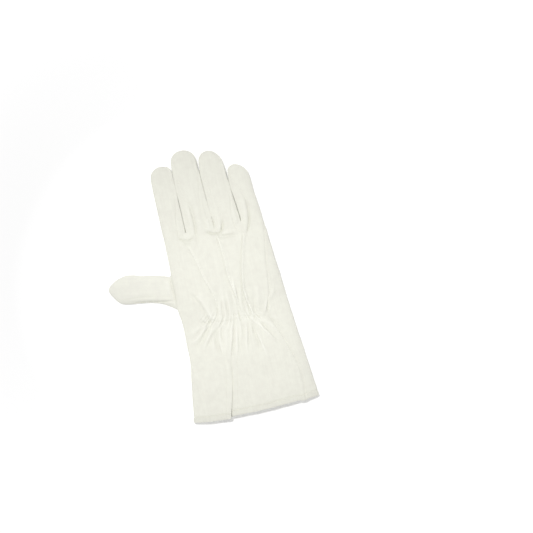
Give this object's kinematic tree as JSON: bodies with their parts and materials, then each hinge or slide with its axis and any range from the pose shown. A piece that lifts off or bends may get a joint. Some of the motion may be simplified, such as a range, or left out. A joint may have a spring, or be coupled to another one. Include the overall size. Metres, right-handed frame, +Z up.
{
  "type": "cotton glove",
  "caption": "White cotton dress glove for the right hand, laid flat palm down, with raised points on the back, a gathered wrist and a flared cuff slit at the back.",
  "frame": {"origin": "middle of the glove's footprint, on the surface that it lies on", "axes": "+Y along the middle finger to its tip, +X towards the little finger, +Z up from the palm through the back of the hand"},
  "size_m": [0.1924, 0.2864, 0.0148],
  "materials": {
    "cotton_jersey": "matt off-white cotton jersey",
    "fourchette_jersey": "matt off-white cotton jersey, a little lighter"
  },
  "bodies": {
    "root": {"hand_piece": "cotton_jersey", "thumb": "cotton_jersey", "fourchette_index_middle": "fourchette_jersey", "fourchette_middle_ring": "fourchette_jersey", "fourchette_ring_little": "fourchette_jersey", "cuff_hem": "cotton_jersey"}
  },
  "joints": []
}
